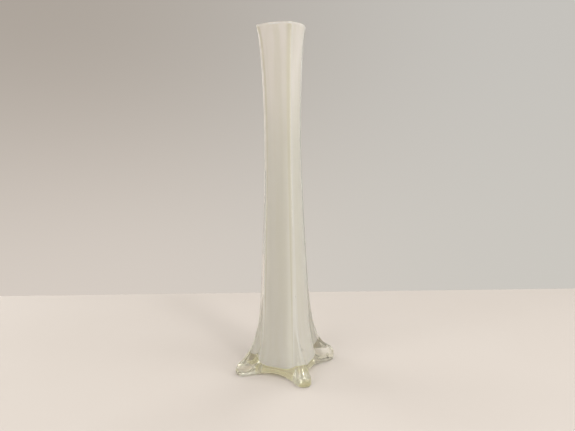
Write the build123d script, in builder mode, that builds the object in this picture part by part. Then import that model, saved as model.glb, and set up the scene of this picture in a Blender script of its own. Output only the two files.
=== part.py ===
from build123d import *

import os
from math import cos, exp, pi, radians, sin, sqrt

# Bud vase of cased glass, blown square in a tall tapered mould. Millimetres, +Z up.
# The origin is on the table under the axis. The four ribs and feet lie on the
# diagonals, and the four faces look along +X, -X, +Y and -Y.
#
# opal_lining   white opal glass cup that holds the stem, open at the mouth
# clear_casing  clear glass over the lining, with a rib down each corner
# footed_base   thick clear glass under both, drawn out into four feet

# Overall sizes
height = 400.0  # table to lip
foot_reach = 64.4  # axis to the tip of a foot
foot_height = 10.0  # thickness of the base, on which casing and lining stand

# Rib crests: distance from the axis along a diagonal
mouth_reach = 29.3
waist_reach = 21.9
ankle_reach = 29.3
foot_lean = 2.2  # how far a rib has drawn in from its foot's tip at the top of the base
seam_reach = foot_reach - foot_lean

# Outer faces: distance from the axis to the middle of a face
mouth_face = 25.8
waist_face = 18.4
ankle_face = 23.8
seam_face = 33.4

# How the outline eases from one of those sizes to the next
ankle_level = 60.0  # the shaft tapers from here up
waist_below_lip = 110.0  # and has stopped tapering this far under the lip
foot_ease = 28.0  # height over which the flare to the feet dies away
mouth_ease = 40.0  # height over which the flare to the mouth dies away
tongue_ease = 16.0  # height over which a foot narrows to its rib

# Ribs and feet
rib_width = 5.2
rib_rise = 1.8  # how far a rib stands out of the faces beside it
foot_width = 18.0
foot_rise = 13.0  # length of a foot's round tongue
foot_edge = 2.4  # roundness of a foot's lower edge

# Lining
clear_wall = 2.2  # casing over the lining, at the middle of a face
waist_rib_depth = 3.2  # casing over the lining, at a rib, from the waist to the lip
ankle_rib_depth = 5.0
lining_seam_reach = 34.0  # the lining's corners flare a little way towards the feet
opal_wall = 1.6
opal_floor = 3.0
lining_edge = 3.0  # roundness of the lining's lower edge

# Underside and lip
arch_rise = 6.0  # hollow under the middle of the base
arch_reach = 45.0  # the soles start this far from the axis
pontil_radius = 9.0  # polished spot where the pontil rod was broken off
pontil_depth = 0.8
lip_round = 0.9

corners = (45, 135, 225, 315)

# Outlines that each smooth skin runs through
lining_stations = 12
casing_stations = 14
crowding = 1.6  # above 1, the outlines stand closer together low down


def along(level, ankle, waist, seam, mouth):
    """Size of an outline at a level, eased between its four named sizes."""
    taper = (level - ankle_level) / (height - waist_below_lip - ankle_level)
    taper = min(max(taper, 0.0), 1.0)
    shaft = waist + (ankle - waist) * (1 + cos(pi * taper)) / 2
    flare = (seam - ankle) * exp((foot_height - level) / foot_ease)
    bell = (mouth - waist) * exp((level - height) / mouth_ease)
    return shaft + flare + bell


def rib_reach(level):
    return along(level, ankle_reach, waist_reach, seam_reach, mouth_reach)


def face_reach(level):
    return along(level, ankle_face, waist_face, seam_face, mouth_face)


def tongue(level, rib, foot):
    return rib + (foot - rib) * exp((foot_height - level) / tongue_ease)


def lining_reach(level):
    ankle = ankle_reach - ankle_rib_depth
    waist = waist_reach - waist_rib_depth
    mouth = mouth_reach - waist_rib_depth
    return along(level, ankle, waist, lining_seam_reach, mouth)


def square_outline(level, face, reach, width, rise):
    """Sketch at a level: four bowed faces between round corners on the diagonals."""
    with BuildSketch(Plane.XY.offset(level)) as outline:
        with BuildLine():
            for corner in corners:
                out = Vector(1, 0).rotate(Axis.Z, corner)
                side = Vector(0, width / 2).rotate(Axis.Z, corner)
                shoulder = out * (reach - rise)
                flank = shoulder + side
                next_flank = (shoulder - side).rotate(Axis.Z, 90)
                face_middle = Vector(face, 0).rotate(Axis.Z, corner + 45)
                ThreePointArc(shoulder - side, out * reach, flank)
                ThreePointArc(flank, face_middle, next_flank)
        make_face()
    return outline.sketch


def casing_outline(level):
    width = tongue(level, rib_width, foot_width)
    rise = tongue(level, rib_rise, foot_rise)
    return square_outline(level, face_reach(level), rib_reach(level), width, rise)


def lining_outline(level, inset=0.0):
    """Sketch at a level: the lining's rounded square, drawn in all round by an inset."""
    face = face_reach(level) - clear_wall
    corner_radius = (sqrt(2) * face - lining_reach(level)) / (sqrt(2) - 1)
    side = 2 * (face - inset)
    with BuildSketch(Plane.XY.offset(level)) as outline:
        RectangleRounded(side, side, corner_radius - inset)
    return outline.sketch


def rising_levels(first, last, count):
    """Levels from first to last, closer together low down, where the outline turns most."""
    return [first + (last - first) * (step / count) ** crowding for step in range(count + 1)]


def rounded_edge(radius):
    """Rise and tuck of the outlines that round off a lower edge."""
    turns = (0, 30, 60, 90)
    return [(radius * (1 - cos(radians(turn))), radius * (1 - sin(radians(turn)))) for turn in turns]


def lining_form(floor, wall=0.0):
    """Solid up the lining from a floor to the lip, with its lower edge rounded."""
    with BuildPart() as form:
        edge = rounded_edge(lining_edge)
        loft([lining_outline(floor + rise, wall + tuck) for rise, tuck in edge], ruled=True)
        straight = rising_levels(floor + lining_edge, height, lining_stations)
        loft([lining_outline(level, wall) for level in straight])
    return form.part


lining_outside = lining_form(foot_height)

with BuildPart() as opal_lining:
    add(lining_outside)
    add(lining_form(foot_height + opal_floor, opal_wall), mode=Mode.SUBTRACT)
    fillet(opal_lining.faces().sort_by(Axis.Z)[-1].inner_wires()[0].edges(), lip_round)

with BuildPart() as clear_casing:
    loft([casing_outline(level) for level in rising_levels(foot_height, height, casing_stations)])
    add(lining_outside, mode=Mode.SUBTRACT)
    fillet(clear_casing.faces().sort_by(Axis.Z)[-1].outer_wire().edges(), lip_round)

with BuildPart() as footed_base:
    soles = []
    for rise, tuck in rounded_edge(foot_edge):
        reach = foot_reach - tuck
        soles.append(square_outline(rise, seam_face - tuck, reach, foot_width - tuck, foot_rise))
    loft(soles, ruled=True)
    bulge = square_outline(foot_height / 2, seam_face, foot_reach, foot_width, foot_rise)
    loft([soles[-1], bulge, casing_outline(foot_height)])
    arch_radius = (arch_reach**2 + arch_rise**2) / (2 * arch_rise)
    with Locations((0, 0, arch_rise - arch_radius)):
        Sphere(arch_radius, mode=Mode.SUBTRACT)
    spot_radius = (pontil_radius**2 + pontil_depth**2) / (2 * pontil_depth)
    with Locations((0, 0, arch_rise + pontil_depth - spot_radius)):
        Sphere(spot_radius, mode=Mode.SUBTRACT)

os.makedirs("parts", exist_ok=True)
opal_lining.part.label = "opal_lining"
export_step(opal_lining.part, "parts/opal_lining.step")
clear_casing.part.label = "clear_casing"
export_step(clear_casing.part, "parts/clear_casing.step")
footed_base.part.label = "footed_base"
export_step(footed_base.part, "parts/footed_base.step")
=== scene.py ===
from functools import cache
from math import atan, atan2, cos, exp, pi, radians, sin, sqrt

import bmesh
import bpy
from mathutils import Matrix, Vector, noise


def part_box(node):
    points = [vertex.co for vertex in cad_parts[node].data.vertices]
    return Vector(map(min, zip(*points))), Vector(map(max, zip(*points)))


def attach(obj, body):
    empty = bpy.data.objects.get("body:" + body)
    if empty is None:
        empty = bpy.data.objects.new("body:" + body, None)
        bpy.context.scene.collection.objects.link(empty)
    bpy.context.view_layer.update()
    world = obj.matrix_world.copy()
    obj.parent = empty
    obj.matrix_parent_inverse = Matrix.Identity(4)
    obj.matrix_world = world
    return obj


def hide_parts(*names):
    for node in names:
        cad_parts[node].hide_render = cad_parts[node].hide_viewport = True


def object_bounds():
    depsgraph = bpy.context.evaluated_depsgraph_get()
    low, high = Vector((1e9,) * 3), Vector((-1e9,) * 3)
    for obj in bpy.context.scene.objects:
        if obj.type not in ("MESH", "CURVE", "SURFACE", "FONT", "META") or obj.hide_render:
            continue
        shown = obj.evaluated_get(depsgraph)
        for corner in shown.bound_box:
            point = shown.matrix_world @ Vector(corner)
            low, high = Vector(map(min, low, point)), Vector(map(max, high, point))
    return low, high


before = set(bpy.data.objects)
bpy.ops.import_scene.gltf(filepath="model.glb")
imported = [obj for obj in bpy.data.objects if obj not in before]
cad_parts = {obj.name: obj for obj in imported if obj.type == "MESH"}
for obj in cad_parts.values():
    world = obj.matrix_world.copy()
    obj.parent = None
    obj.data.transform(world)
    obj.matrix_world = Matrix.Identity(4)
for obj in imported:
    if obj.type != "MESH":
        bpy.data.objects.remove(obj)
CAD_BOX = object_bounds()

# A bud vase of cased glass: a white opal lining inside a clear casing with four
# ribs, standing on a thick clear base that is drawn out into four feet. Metres.

MM = 0.001

# Overall sizes, read from the frame
HEIGHT = CAD_BOX[1].z
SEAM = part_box("footed_base")[1].z  # top of the base, where casing and lining stand

# Rib crests: distance from the axis along a diagonal
MOUTH_REACH = 29.3 * MM
WAIST_REACH = 21.9 * MM
ANKLE_REACH = 29.3 * MM
FOOT_REACH = 64.4 * MM
FOOT_LEAN = 2.2 * MM  # how far a rib has drawn in from its foot's tip at the seam
SEAM_REACH = FOOT_REACH - FOOT_LEAN

# Outer faces: distance from the axis to the middle of a face
MOUTH_FACE = 25.8 * MM
WAIST_FACE = 18.4 * MM
ANKLE_FACE = 23.8 * MM
SEAM_FACE = 33.4 * MM

# How the outline eases from one of those sizes to the next
ANKLE_LEVEL = 60 * MM
WAIST_BELOW_LIP = 110 * MM
FOOT_EASE = 28 * MM
MOUTH_EASE = 40 * MM
TONGUE_EASE = 16 * MM

# Ribs and feet
RIB_WIDTH = 5.2 * MM
RIB_RISE = 1.8 * MM
FOOT_WIDTH = 18.0 * MM
FOOT_RISE = 13.0 * MM
FOOT_EDGE = 3.0 * MM  # roundness of a foot's lower edge
FULLEST = 0.4 * SEAM  # level at which a foot reaches furthest

# Each foot was pinched out by hand: how much fuller its toe is than the plainest one
TOE_FULLNESS = {45: 4.6 * MM, 135: 1.4 * MM, 225: 0.0, 315: 0.8 * MM}
TOE_LEVEL = 15.5 * MM
TOE_SPREAD = 4.0 * MM

# Lining
CLEAR_WALL = 2.2 * MM
WAIST_RIB_DEPTH = 3.2 * MM
ANKLE_RIB_DEPTH = 6.0 * MM
LINING_SEAM_REACH = 34.0 * MM
LIP_FLARE = 6.0 * MM  # the lining comes close to the outer skin over this far below the lip
LIP_CLEAR_WALL = 0.5 * MM
OPAL_WALL = 1.6 * MM
OPAL_FLOOR = 3.0 * MM
LINING_EDGE = 3.0 * MM
LIP_ROUND = 1.7 * MM

# Underside
ARCH_RISE = 6.0 * MM
ARCH_REACH = 45.0 * MM
ARCH_BLEND = 0.25 * MM  # how softly the arch runs out into the soles
ARCH_SETTLE = 0.1 * MM
PONTIL_RADIUS = 9.0 * MM
PONTIL_DEPTH = 0.8 * MM

# Glass runs this far into its neighbour, so that no light leaks between them
OVERLAP = 0.15 * MM

# Unevenness of blown glass, as shares of the distance from the axis
SLOW_WOBBLE = 0.006
QUICK_WOBBLE = 0.0022
PINCHED_WOBBLE = 0.006  # only at the feet

# Seeds, the bubbles left in the glass: bearing, distance from the axis, level, width,
# length and lean of each, with its length upright until it leans
CASING_SEEDS = (
    (221, 30.0 * MM, 47 * MM, 0.6 * MM, 2.6 * MM, 8),
    (228, 33.0 * MM, 41 * MM, 0.5 * MM, 1.4 * MM, -12),
    (318, 27.5 * MM, 96 * MM, 0.4 * MM, 1.6 * MM, 4),
    (313, 24.0 * MM, 172 * MM, 0.4 * MM, 1.2 * MM, 0),
    (47, 25.5 * MM, 150 * MM, 0.4 * MM, 1.3 * MM, 0),
    (133, 31.0 * MM, 52 * MM, 0.5 * MM, 1.9 * MM, 6),
)
BASE_SEEDS = (
    (40, 53.0 * MM, 7.0 * MM, 2.8 * MM, 6.4 * MM, 18),
    (36, 55.5 * MM, 4.2 * MM, 1.4 * MM, 3.0 * MM, 65),
    (229, 50.0 * MM, 6.0 * MM, 0.8 * MM, 2.2 * MM, 80),
    (312, 51.0 * MM, 5.5 * MM, 0.9 * MM, 1.6 * MM, 60),
    (140, 49.0 * MM, 5.0 * MM, 1.1 * MM, 2.6 * MM, 75),
    (262, 31.0 * MM, 6.5 * MM, 0.6 * MM, 1.2 * MM, 85),
)

# Mesh
NOSE_STEPS = 12  # along a rib's nose, in each quarter
FACE_STEPS = 28  # along a face, in each quarter
RING = 4 * (NOSE_STEPS + FACE_STEPS)
CREASE_SMOOTHING = 3
LINING_RINGS = 70
CASING_RINGS = 110
JOINT_RINGS = 40
BASE_RINGS = 16
SOLE_RINGS = 30
EDGE_STEPS = 6  # at each of the lining's lower edges
LIP_STEPS = 8

# Stage
VIEW_TURN = radians(23.76)  # the camera, table and lights are turned this far round the vase
TABLE_GAP = 0.2 * MM  # air under the soles
TABLE_BEHIND = 300 * MM
TABLE_REACH = 1700 * MM
LAMP_COLOUR = (1.0, 0.975, 0.94)


# ---------------------------------------------------------------- outlines

def along(level, ankle, waist, seam, mouth):
    """A size of an outline at a level, eased between its four named sizes."""
    level = max(level, SEAM)
    taper = (level - ANKLE_LEVEL) / (HEIGHT - WAIST_BELOW_LIP - ANKLE_LEVEL)
    taper = min(max(taper, 0.0), 1.0)
    shaft = waist + (ankle - waist) * (1 + cos(pi * taper)) / 2
    flare = (seam - ankle) * exp((SEAM - level) / FOOT_EASE)
    bell = (mouth - waist) * exp((level - HEIGHT) / MOUTH_EASE)
    return shaft + flare + bell


def tongue(level, rib, foot):
    """A size across a rib, which widens into its foot below."""
    return rib + (foot - rib) * exp((SEAM - max(level, SEAM)) / TONGUE_EASE)


def toe_bulge(level, corner):
    """How far a corner's toe stands out beyond the plainest one."""
    return TOE_FULLNESS[corner] * exp(-(((level - TOE_LEVEL) / TOE_SPREAD) ** 2) / 2)


def foot_reach(level, corner):
    """Reach of a foot below the seam: full at its toe, then leaning in to meet its rib."""
    swell = max(0.0, (level - FULLEST) / (SEAM - FULLEST))
    bulge = toe_bulge(SEAM, corner)
    lean = FOOT_LEAN - bulge
    slope = (SEAM_REACH - ANKLE_REACH) / FOOT_EASE - bulge * (TOE_LEVEL - SEAM) / TOE_SPREAD**2
    return FOOT_REACH - lean * swell ** (slope * (SEAM - FULLEST) / lean)


def rib_reach(level, corner):
    """Distance from the axis to a rib's crest, or to its foot's tip below the seam."""
    if level < SEAM:
        return foot_reach(level, corner)
    reach = along(level, ANKLE_REACH, WAIST_REACH, SEAM_REACH, MOUTH_REACH)
    return reach + toe_bulge(level, corner)


def face_reach(level):
    return along(level, ANKLE_FACE, WAIST_FACE, SEAM_FACE, MOUTH_FACE)


def quarter_outline(level, corner, tuck):
    """Points of a quarter of the clear outline: a rib's nose, then the face after it."""
    rise = tongue(level, RIB_RISE, FOOT_RISE)
    half = (tongue(level, RIB_WIDTH, FOOT_WIDTH) - tuck) / 2
    reach = rib_reach(level, corner) - tuck
    next_reach = rib_reach(level, (corner + 90) % 360) - tuck
    face = face_reach(level) - tuck
    turn = 2 * atan(rise / half)
    radius = half / sin(turn)
    points = []
    for step in range(NOSE_STEPS):
        angle = turn * (2 * step / NOSE_STEPS - 1)
        points.append(Vector((reach - radius + radius * cos(angle), radius * sin(angle))))
    diagonal = Matrix.Rotation(radians(45), 2)
    for step in range(FACE_STEPS):
        share = 2 * step / FACE_STEPS - 1
        shoulder = (reach if share < 0 else next_reach) - rise
        flank_out = (shoulder + half) / sqrt(2)
        flank_side = (shoulder - half) / sqrt(2)
        point = Vector((face + (flank_out - face) * share**2, flank_side * share))
        points.append(diagonal @ point)
    return points


def smoothed(points):
    """Rounds the crease between ribs and faces by averaging each point with its neighbours."""
    for _ in range(CREASE_SMOOTHING):
        points = [(points[i - 1] + points[i] * 2 + points[(i + 1) % RING]) / 4 for i in range(RING)]
    return points


def waves(point, across, up, start=0):
    """Noise at a point, whose waves repeat about so many times in a metre across and up."""
    return noise.noise(Vector((point.x * across, point.y * across, point.z * up + start)))


def hand_wobble(point):
    """How much further out or in a point lies on uneven glass, as a factor close to 1."""
    slow = waves(point, across=18, up=9)
    quick = waves(point, across=70, up=28, start=40)
    pinched = noise.noise(point * 130 + Vector((7, 0, 0))) * exp(-point.z / FOOT_EASE)
    return 1 + SLOW_WOBBLE * slow + QUICK_WOBBLE * quick + PINCHED_WOBBLE * pinched


@cache
def clear_ring(level, tuck=0.0):
    """The clear glass's outline at a level, drawn in by a tuck."""
    ring = []
    for corner in TOE_FULLNESS:
        turn = Matrix.Rotation(radians(corner), 2)
        ring += [turn @ point for point in quarter_outline(level, corner, tuck)]
    ring = at_level(smoothed(ring), level)
    return [Vector((p.x * hand_wobble(p), p.y * hand_wobble(p), level)) for p in ring]


def lining_radius(angle, level, inset):
    """Distance from the axis to the lining's rounded square, in a direction."""
    face = face_reach(level) - CLEAR_WALL
    reach = along(
        level,
        ANKLE_REACH - ANKLE_RIB_DEPTH,
        WAIST_REACH - WAIST_RIB_DEPTH,
        LINING_SEAM_REACH,
        MOUTH_REACH - WAIST_RIB_DEPTH,
    )
    corner = (sqrt(2) * face - reach) / (sqrt(2) - 1) - inset
    face -= inset
    from_face = (angle + pi / 4) % (pi / 2) - pi / 4
    if face * abs(sin(from_face)) <= (face - corner) * cos(from_face):
        return face / cos(from_face)
    centre = (face - corner) * sqrt(2)
    off = centre * sin(pi / 4 - abs(from_face))
    return centre * cos(pi / 4 - abs(from_face)) + sqrt(max(corner**2 - off**2, 0.0))


def lining_ring(level, inset=0.0, shrink=1.0):
    """The lining's outline at a level, drawn in by an inset and then shrunk towards the axis."""
    ring = []
    for skin in clear_ring(max(level, SEAM)):
        radius = lining_radius(atan2(skin.y, skin.x), level, inset)
        lip_share = exp((level - HEIGHT) / LIP_FLARE)
        radius += (skin.xy.length - LIP_CLEAR_WALL - inset - radius) * lip_share
        ring.append(Vector((*(skin.xy.normalized() * radius * shrink), level)))
    return ring


def at_level(ring, level, share=1.0):
    """A ring laid flat at a level, and drawn towards the axis to a share of its reach."""
    return [Vector((p.x * share, p.y * share, level)) for p in ring]


def rising_levels(first, last, count, crowding=1.6):
    """Levels from first to last, closer together near the first."""
    return [first + (last - first) * (step / count) ** crowding for step in range(count + 1)]


def quarter_turn(share):
    """Cosine and sine of a share of a quarter turn."""
    return cos(share * pi / 2), sin(share * pi / 2)


# ---------------------------------------------------------------- mesh tools

class RingMesh:
    """A mesh made of rings, each extruded from the one before.

    Each point knows its place in its ring. A face is marked as fused, with a 1, where it
    lies inside the glass between two gathers.
    """

    def __init__(self, name):
        self.name = name
        self.mesh = bmesh.new()
        self.place = self.mesh.verts.layers.int.new("place")
        self.fused = self.mesh.faces.layers.float.new("fused")
        self.edges = []

    def start(self, points):
        """Lays the first ring, and gives its edges so that it can be closed later."""
        made = bmesh.ops.create_circle(self.mesh, segments=RING, radius=HEIGHT)
        for i, vert in enumerate(made["verts"]):
            vert[self.place] = i
            vert.co = points[i]
        self.edges = list(dict.fromkeys(edge for vert in made["verts"] for edge in vert.link_edges))
        return self.edges

    def rise(self, points, material=0, fused=0.0):
        """Extrudes the last ring to new points, and gives the new ring."""
        made = bmesh.ops.extrude_edge_only(self.mesh, edges=self.edges)["geom"]
        for item in made:
            if isinstance(item, bmesh.types.BMVert):
                item.co = points[item[self.place]]
            elif isinstance(item, bmesh.types.BMFace):
                item.material_index = material
                item[self.fused] = fused
        self.edges = [item for item in made if isinstance(item, bmesh.types.BMEdge)]
        ring = set()
        for edge in self.edges:
            ring.update(edge.verts)
        return ring

    def fuse(self, faces):
        """Marks faces as lying inside the glass between two gathers."""
        for face in faces:
            face[self.fused] = 1.0

    def sharp(self):
        """Keeps the last ring as a hard edge."""
        for edge in self.edges:
            edge.smooth = False

    def add_seed(self, bearing, reach, level, width, length, lean):
        """A bubble in the glass: its faces point into it, out of the glass."""
        place = Matrix.Rotation(radians(bearing), 4, "Z") @ Matrix.Translation((reach, 0, level))
        shape = Matrix.Rotation(radians(lean), 4, "X") @ Matrix.Diagonal((width, width, length, 1))
        made = bmesh.ops.create_icosphere(self.mesh, subdivisions=3, radius=0.5, matrix=place @ shape)
        faces = {face for vert in made["verts"] for face in vert.link_faces}
        bmesh.ops.reverse_faces(self.mesh, faces=list(faces))

    def gather(self, centre, material=0):
        """Closes the last ring on a point."""
        ring = self.rise([centre] * RING, material)
        bmesh.ops.pointmerge(self.mesh, verts=list(ring), merge_co=centre)

    def finish(self, materials, seeds=()):
        """Makes the piece, with its faces outwards and its seeds in it."""
        bmesh.ops.recalc_face_normals(self.mesh, faces=self.mesh.faces)
        for seed in seeds:
            self.add_seed(*seed)
        for face in self.mesh.faces:
            face.smooth = True
        data = bpy.data.meshes.new(self.name)
        self.mesh.to_mesh(data)
        self.mesh.free()
        piece = bpy.data.objects.new(self.name, data)
        bpy.context.scene.collection.objects.link(piece)
        for material in materials:
            data.materials.append(material)
        return piece


# ---------------------------------------------------------------- finishes

class Value:
    """A shader's number, so that sums on it add Math nodes."""

    def __init__(self, finish, socket):
        self.finish = finish
        self.socket = socket

    def maths(self, operation, first, second=0.0):
        return self.finish.node("ShaderNodeMath", {"operation": operation}, {0: first, 1: second})

    def __add__(self, other):
        return self.maths("ADD", self, other)

    def __sub__(self, other):
        return self.maths("SUBTRACT", self, other)

    def __rsub__(self, other):
        return self.maths("SUBTRACT", other, self)

    def __mul__(self, other):
        return self.maths("MULTIPLY", self, other)

    def __truediv__(self, other):
        return self.maths("DIVIDE", self, other)

    def __pow__(self, other):
        return self.maths("POWER", self, other)

    def __abs__(self):
        return self.maths("ABSOLUTE", self)

    __radd__ = __add__
    __rmul__ = __mul__


class Finish:
    """The nodes of a material or of the backdrop."""

    def __init__(self, owner, output):
        owner.use_nodes = True
        self.owner = owner
        self.nodes = owner.node_tree.nodes
        self.links = owner.node_tree.links
        self.nodes.clear()
        self.output = self.nodes.new(output)

    def node(self, kind, settings=None, inputs=None, output=0):
        """Adds a node of a kind, with its settings and the values or links of its sockets."""
        made = self.nodes.new(kind)
        for name, value in (settings or {}).items():
            setattr(made, name, value)
        for name, value in (inputs or {}).items():
            if isinstance(value, Value):
                self.links.new(value.socket, made.inputs[name])
            else:
                made.inputs[name].default_value = value
        return Value(self, made.outputs[output])

    def axes(self, where):
        """The three numbers of a vector."""
        parts = self.node("ShaderNodeSeparateXYZ", {}, {0: where}).socket.node
        return [Value(self, socket) for socket in parts.outputs]

    def cloud(self, scale, stretch=(1, 1, 1), detail=3.0, roughness=0.5):
        """Soft noise from 0 to 1."""
        where = self.node("ShaderNodeTexCoord", output="Object")
        place = self.node("ShaderNodeMapping", {}, {"Vector": where, "Scale": stretch})
        sockets = {"Vector": place, "Scale": scale, "Detail": detail, "Roughness": roughness}
        return self.node("ShaderNodeTexNoise", {}, sockets)

    def ease(self, value, start, end, low=0.0, high=1.0):
        """Goes smoothly from low to high while a value goes from start to end."""
        sockets = {"Value": value, "From Min": start, "From Max": end, "To Min": low, "To Max": high}
        return self.node("ShaderNodeMapRange", {"interpolation_type": "SMOOTHSTEP"}, sockets)

    def blend(self, factor, first, second):
        """A colour between two others."""
        sockets = {"Factor": factor, 6: first, 7: second}
        return self.node("ShaderNodeMix", {"data_type": "RGBA"}, sockets, output=2)

    def bump(self, height, strength, distance):
        """Dents and swells in the surface that follow a height."""
        sockets = {"Height": height, "Strength": strength, "Distance": distance}
        return self.node("ShaderNodeBump", {}, sockets)

    def surface(self, **sockets):
        """Ends the finish with a surface, and gives the finished material."""
        named = {name.replace("_", " "): value for name, value in sockets.items()}
        shader = self.node("ShaderNodeBsdfPrincipled", {}, named)
        self.links.new(shader.socket, self.output.inputs["Surface"])
        return self.owner

    def absorb(self, colour, density):
        """Tints the glass by its thickness."""
        haze = self.node("ShaderNodeVolumeAbsorption", {}, {"Color": colour, "Density": density})
        self.links.new(haze.socket, self.output.inputs["Volume"])


def material_finish(name):
    return Finish(bpy.data.materials.new(name), "ShaderNodeOutputMaterial")


def clear_glass(name, tint, clarity, absorbed, density):
    """Blown glass with a fire-polished skin, faint draw lines and a few wiped marks.

    Where two gathers fused into one, their joint can't be seen.
    """
    finish = material_finish(name)
    draw_lines = finish.cloud(60, (1, 1, 0.06), 2.0)
    ripple = finish.cloud(24, (1, 1, 0.5), 1.0)
    marks = finish.cloud(38, (1, 1, 0.6), 4.0, 0.6)
    fused = finish.node("ShaderNodeAttribute", {"attribute_name": "fused"}, output=2)
    finish.absorb(absorbed, density)
    return finish.surface(
        Base_Color=tint,
        Alpha=1 - fused,
        Roughness=0.012 + 0.03 * marks**3,
        IOR=1.5,
        Transmission_Weight=clarity,
        Normal=finish.bump(draw_lines * 0.4 + ripple, 0.25, 0.6 * MM),
    )


def opal_glass(name, gloss, shade=0.0, painted_glow=0.0, painted_glow_low_colour=(0, 0, 0, 1)):
    """White opal glass: milky, with soft clouds and streaks along the vase, and with painted shade
    along the corners and painted highlights.

    Shade greys the bare opal towards dark grey: painted shade.
    The emission is painted light, standing in for the light that comes through the opal from the bore;
    away from the lip it takes its own low colour.
    """
    finish = material_finish(name)
    streaks = finish.cloud(130, (1, 1, 0.02), 2.0)
    clouds = finish.cloud(16, (1, 1, 0.5), 2.0)
    x, y, z = finish.axes(finish.node("ShaderNodeTexCoord", output="Object"))
    # Painted shade: a darker, greener band along each corner, with a painted highlight line to one side
    # of the band
    off_corner = (abs(x) - abs(y)) * sqrt(0.5)
    corner_width = finish.ease(z, 0.5 * HEIGHT, HEIGHT, 2.0 * MM, 4.5 * MM)
    painted_corner_shade = finish.ease(abs(off_corner + 0.4 * MM) / corner_width, 0.0, 1.0, 1.0, 0.0)
    # Painted highlight: a pale line beside each corner's darker band
    painted_highlight_line = finish.ease(abs(off_corner - 2.2 * MM), 0.4 * MM, 1.4 * MM, 1.0, 0.0)
    deep = finish.blend(clouds, (0.895, 0.885, 0.825, 1), (0.915, 0.900, 0.850, 1))
    # Painted light: the opal turns lighter and warmer towards the top
    milk_and_painted_top_light = finish.blend(finish.ease(z, 0.68 * HEIGHT, 0.88 * HEIGHT), deep, (0.985, 0.960, 0.930, 1))
    drawn = finish.ease(streaks, 0.38, 0.66, 0.0, 0.6)
    streaked = finish.blend(drawn, milk_and_painted_top_light, (0.87, 0.855, 0.775, 1))
    # Painted shade: the corner band greys and greens the opal, less so low down
    with_painted_corner_shade = finish.blend(
        painted_corner_shade * finish.ease(z, 0.08 * HEIGHT, 0.28 * HEIGHT, 0.2, 0.4 if gloss else 0.9),
        streaked,
        (0.76, 0.74, 0.62, 1),
    )
    with_painted_highlight_line = finish.blend(painted_highlight_line * 0.8, with_painted_corner_shade, (0.995, 0.99, 0.965, 1))
    # Painted highlight: the opal turns whiter over the last few millimetres below the lip
    painted_rim_highlight = finish.ease(z, HEIGHT - 3.0 * MM, HEIGHT - 1.2 * MM)
    with_painted_rim_highlight = finish.blend(painted_rim_highlight, with_painted_highlight_line, (1.0, 0.985, 0.95, 1))
    # Painted light: the emitted colour turns warm near the lip
    painted_glow_near_lip = finish.ease(z, 0.55 * HEIGHT, 0.92 * HEIGHT)
    return finish.surface(
        # Painted shade: the colour is greyed towards dark grey by the shade
        Base_Color=finish.blend(shade, with_painted_rim_highlight, (0.10, 0.10, 0.09, 1)),
        Roughness=0.12 + 0.1 * clouds if gloss else 0.6 + 0.1 * clouds,
        IOR=1.5,
        Specular_IOR_Level=0.5 if gloss else 0.0,
        Emission_Color=finish.blend(painted_glow_near_lip, painted_glow_low_colour, (0.55, 0.44, 0.35, 1)),
        Emission_Strength=painted_glow,
    )


def table_paper():
    """Pale matt paper."""
    finish = material_finish("table_paper")
    mottle = finish.cloud(5, detail=4.0)
    colour = finish.blend(mottle, (0.60, 0.56, 0.525, 1), (0.625, 0.588, 0.558, 1))
    return finish.surface(Base_Color=colour, Roughness=0.75, Specular_IOR_Level=0.2)


# ---------------------------------------------------------------- pieces

def make_lining(skin, glaze, underneath):
    """The opal cup: up the outside, over the lip and down the bore."""
    shape = RingMesh("opal_lining_glass")
    skin_index, glaze_index, under_index = range(3)
    lip_base = HEIGHT - LIP_ROUND
    bottom = SEAM - OVERLAP
    middle = shape.start(lining_ring(bottom, LINING_EDGE, shrink=0.05))
    for share in (0.3, 0.6, 0.85, 1.0):
        shape.rise(lining_ring(bottom, LINING_EDGE, shrink=share), under_index)
    for step in range(1, EDGE_STEPS + 1):
        across, up = quarter_turn(step / EDGE_STEPS)
        edge = lining_ring(bottom + LINING_EDGE * (1 - across), LINING_EDGE * (1 - up))
        shape.rise(edge, under_index if step <= EDGE_STEPS / 2 else skin_index)
    for level in rising_levels(bottom + LINING_EDGE, lip_base, LINING_RINGS)[1:]:
        shape.rise(lining_ring(level))
    shape.rise(lining_ring(HEIGHT))
    shape.sharp()
    for step in range(1, LIP_STEPS + 1):
        up, across = quarter_turn(step / LIP_STEPS)
        shape.rise(lining_ring(lip_base + LIP_ROUND * up, OPAL_WALL * across), glaze_index)
    floor = SEAM + OPAL_FLOOR
    for level in reversed(rising_levels(floor + LINING_EDGE, lip_base, LINING_RINGS)[:-1]):
        shape.rise(lining_ring(level, OPAL_WALL), glaze_index)
    # These rings run from the floor back up to the wall, so a thin fold lies inside the opal
    for step in range(1, EDGE_STEPS + 1):
        up, across = quarter_turn(1 - step / EDGE_STEPS)
        inset = OPAL_WALL + LINING_EDGE * (1 - up)
        shape.rise(lining_ring(floor + LINING_EDGE * (1 - across), inset), glaze_index)
    for share in (0.85, 0.6, 0.3, 0.1):
        shape.rise(lining_ring(floor, OPAL_WALL + LINING_EDGE, shrink=share), glaze_index)
    shape.gather(Vector((0, 0, floor)), glaze_index)
    bmesh.ops.edgeloop_fill(shape.mesh, edges=middle, mat_nr=under_index)
    return shape.finish([skin, glaze, underneath])


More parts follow.
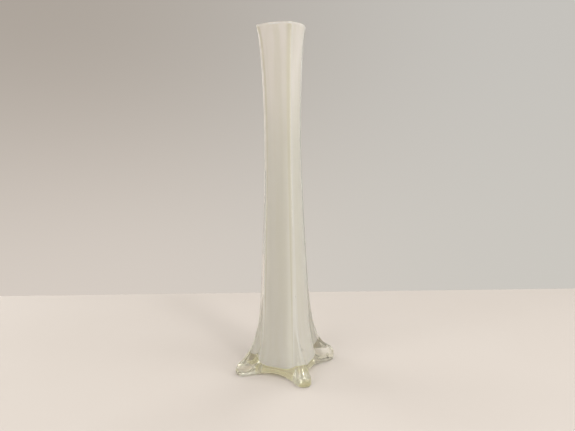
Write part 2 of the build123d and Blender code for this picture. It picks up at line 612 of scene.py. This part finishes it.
def make_casing(glass):
    """The clear casing: up the ribbed outside, over the lip, and down where it meets the lining."""
    shape = RingMesh("clear_casing_glass")
    lip_base = HEIGHT - LIP_ROUND
    bottom = SEAM - OVERLAP
    first = shape.start(at_level(clear_ring(SEAM, OVERLAP), bottom))
    shape.rise(clear_ring(SEAM), fused=1.0)
    shape.sharp()
    for level in rising_levels(SEAM, lip_base, CASING_RINGS, crowding=1.7)[1:]:
        shape.rise(clear_ring(level))
    brow = clear_ring(lip_base)
    crest = lining_ring(HEIGHT)
    for step in range(1, LIP_STEPS + 1):
        across, up = quarter_turn(step / LIP_STEPS)
        level = lip_base + LIP_ROUND * up
        ring = [crest[i].lerp(brow[i], across) for i in range(RING)]
        shape.rise(at_level(ring, level))
    shape.sharp()
    for level in reversed(rising_levels(bottom + LINING_EDGE, HEIGHT - OVERLAP, JOINT_RINGS)):
        shape.rise(lining_ring(level, OVERLAP), fused=1.0)
    # These rings also run back up: a thin fold, with a hollow between casing, lining and base
    for step in range(1, EDGE_STEPS + 1):
        up, across = quarter_turn(1 - step / EDGE_STEPS)
        level = bottom + LINING_EDGE * (1 - across)
        shape.rise(lining_ring(level, OVERLAP + LINING_EDGE * (1 - up)), fused=1.0)
    joint = bmesh.ops.bridge_loops(shape.mesh, edges=shape.edges + first)
    shape.fuse(joint["faces"])
    return shape.finish([glass], CASING_SEEDS)


def underside(radius):
    """Height of the base's underside above the table, at a distance from the axis."""
    arch_radius = (ARCH_REACH**2 + ARCH_RISE**2) / (2 * ARCH_RISE)
    arch = sqrt(arch_radius**2 - radius**2) - (arch_radius - ARCH_RISE)
    soft = (arch + sqrt(arch**2 + ARCH_BLEND**2)) / 2 - ARCH_SETTLE
    dimple = PONTIL_DEPTH * max(0.0, 1 - (radius / PONTIL_RADIUS) ** 2)
    return max(0.0, soft) + dimple


def make_base(glass):
    """The footed base: across its top, down round the feet and in under the arch."""
    shape = RingMesh("footed_base_glass")
    seam_ring = clear_ring(SEAM)
    middle = shape.start(at_level(seam_ring, SEAM, share=0.1))
    for share in (0.35, 0.6, 0.8, 0.92, 1.0):
        shape.rise(at_level(seam_ring, SEAM, share), fused=1.0)
    shape.sharp()
    soles = [underside(p.xy.length) for p in clear_ring(0, FOOT_EDGE)]
    for step in range(1, BASE_RINGS + 1):
        level = SEAM * (1 - step / BASE_RINGS)
        low = max(0.0, 1 - level / FOOT_EDGE)
        ring = clear_ring(level, FOOT_EDGE * (1 - sqrt(1 - low**2)))
        brim = [Vector((p.x, p.y, sole + level * (1 - sole / SEAM))) for p, sole in zip(ring, soles)]
        shape.rise(brim)
    for step in range(1, SOLE_RINGS):
        share = 1 - step / SOLE_RINGS
        inner = [Vector((p.x * share, p.y * share, underside(p.xy.length * share))) for p in brim]
        shape.rise(inner)
    shape.gather(Vector((0, 0, underside(0))))
    top = bmesh.ops.edgeloop_fill(shape.mesh, edges=middle)
    shape.fuse(top["faces"])
    return shape.finish([glass], BASE_SEEDS)


# ---------------------------------------------------------------- stage

def make_table():
    """A pale table, whose far edge lies a little way behind the vase."""
    mesh = bmesh.new()
    bmesh.ops.create_grid(mesh, x_segments=1, y_segments=1, size=1.0)
    for vert in mesh.verts:
        vert.co.x *= TABLE_REACH
        vert.co.y = TABLE_BEHIND if vert.co.y > 0 else -TABLE_REACH
        vert.co.z = -TABLE_GAP
    bmesh.ops.rotate(mesh, verts=mesh.verts, matrix=Matrix.Rotation(VIEW_TURN, 3, "Z"))
    data = bpy.data.meshes.new("table")
    mesh.to_mesh(data)
    mesh.free()
    data.materials.append(table_paper())
    table = bpy.data.objects.new("table", data)
    bpy.context.scene.collection.objects.link(table)


def make_backdrop():
    """A soft wall of light, paler towards the table and cooler on the right."""
    world = bpy.data.worlds.new("studio")
    bpy.context.scene.world = world
    finish = Finish(world, "ShaderNodeOutputWorld")
    where = finish.node("ShaderNodeTexCoord", output="Generated")
    x, y, z = finish.axes(where)
    rightward = x * cos(VIEW_TURN) + y * sin(VIEW_TURN)
    side = finish.ease(rightward, -0.45, 0.45)
    rise = finish.ease(z, -0.30, 0.22)
    left = finish.blend(rise, (0.67, 0.605, 0.545, 1), (0.42, 0.375, 0.33, 1))
    right = finish.blend(rise, (0.60, 0.575, 0.53, 1), (0.56, 0.54, 0.505, 1))
    light = finish.node("ShaderNodeBackground", {}, {"Color": finish.blend(side, left, right)})
    finish.links.new(light.socket, finish.output.inputs["Surface"])


def make_softbox(name, bearing, distance, level, width, tall, brightness):
    """A soft light that faces the middle of the vase, at a bearing from the camera's right."""
    data = bpy.data.lights.new(name, "AREA")
    data.shape = "RECTANGLE"
    data.size = width
    data.size_y = tall
    data.energy = brightness * width * tall * pi
    data.color = LAMP_COLOUR
    lamp = bpy.data.objects.new(name, data)
    bpy.context.scene.collection.objects.link(lamp)
    turn = radians(bearing) + VIEW_TURN
    lamp.location = Vector((distance * cos(turn), distance * sin(turn), level))
    towards = Vector((0, 0, HEIGHT / 2)) - lamp.location
    lamp.rotation_euler = towards.to_track_quat("-Z", "Y").to_euler()


def make_camera(aside, distance, height, pitch, roll, lens):
    """A camera in front of the vase, turned round it, looking a little down."""
    data = bpy.data.cameras.new("camera")
    data.lens = lens
    data.sensor_width = 36
    camera = bpy.data.objects.new("camera", data)
    bpy.context.scene.collection.objects.link(camera)
    right = Vector((1, 0, 0))
    ahead = Vector((0, cos(pitch), -sin(pitch)))
    up = Vector((0, sin(pitch), cos(pitch)))
    across = right * cos(roll) + up * sin(roll)
    upright = up * cos(roll) - right * sin(roll)
    axes = Matrix((across, upright, -ahead)).transposed().to_4x4()
    axes.translation = Vector((aside, -distance, height))
    camera.matrix_world = Matrix.Rotation(VIEW_TURN, 4, "Z") @ axes
    bpy.context.scene.camera = camera


# ---------------------------------------------------------------- scene

make_camera(
    aside=4.05 * MM,
    distance=625.4 * MM,
    height=288.4 * MM,
    pitch=radians(9.227),
    roll=radians(-0.757),
    lens=33.8,
)
make_table()
make_backdrop()
make_softbox("overhead", bearing=-30, distance=0.4, level=1.5, width=1.3, tall=1.3, brightness=0.72)
make_softbox("ceiling_lamp", bearing=-55, distance=1.0, level=1.6, width=0.2, tall=0.2, brightness=38.0)
make_softbox("right_side", bearing=-30, distance=1.3, level=0.62, width=1.1, tall=1.2, brightness=2.1)
make_softbox("back_lamp", bearing=55, distance=1.1, level=1.35, width=0.7, tall=0.7, brightness=3.0)
make_softbox("left_rim", bearing=152, distance=1.3, level=0.60, width=0.85, tall=1.1, brightness=2.6)
make_softbox("front_fill", bearing=-130, distance=1.1, level=0.85, width=0.9, tall=0.7, brightness=2.6)
bpy.context.scene.view_settings.view_transform = "Standard"

casing_glass = clear_glass(
    "casing_glass",
    tint=(0.995, 0.995, 0.985, 1),
    clarity=1.0,
    absorbed=(0.60, 0.62, 0.10, 1),
    density=1.0,
)
base_glass = clear_glass(
    "base_glass",
    tint=(0.99, 0.985, 0.94, 1),
    clarity=0.98,
    absorbed=(0.80, 0.79, 0.15, 1),
    density=6.0,
)

# Painted light: the skin and the underside emit a faint light, and the glaze is greyed with painted
# shade
lining = make_lining(
    opal_glass("opal_skin", gloss=False, painted_glow=0.06),
    opal_glass("opal_glaze", gloss=True, shade=0.22),
    opal_glass("opal_under", gloss=False, painted_glow=0.22, painted_glow_low_colour=(1.0, 0.91, 0.63, 1)),
)
casing = make_casing(casing_glass)
base = make_base(base_glass)
for piece, node, slot in (
    (lining, "opal_lining", "opal_glass"),
    (casing, "clear_casing", "clear_glass"),
    (base, "footed_base", "base_glass"),
):
    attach(piece, "root")
    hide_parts(node)
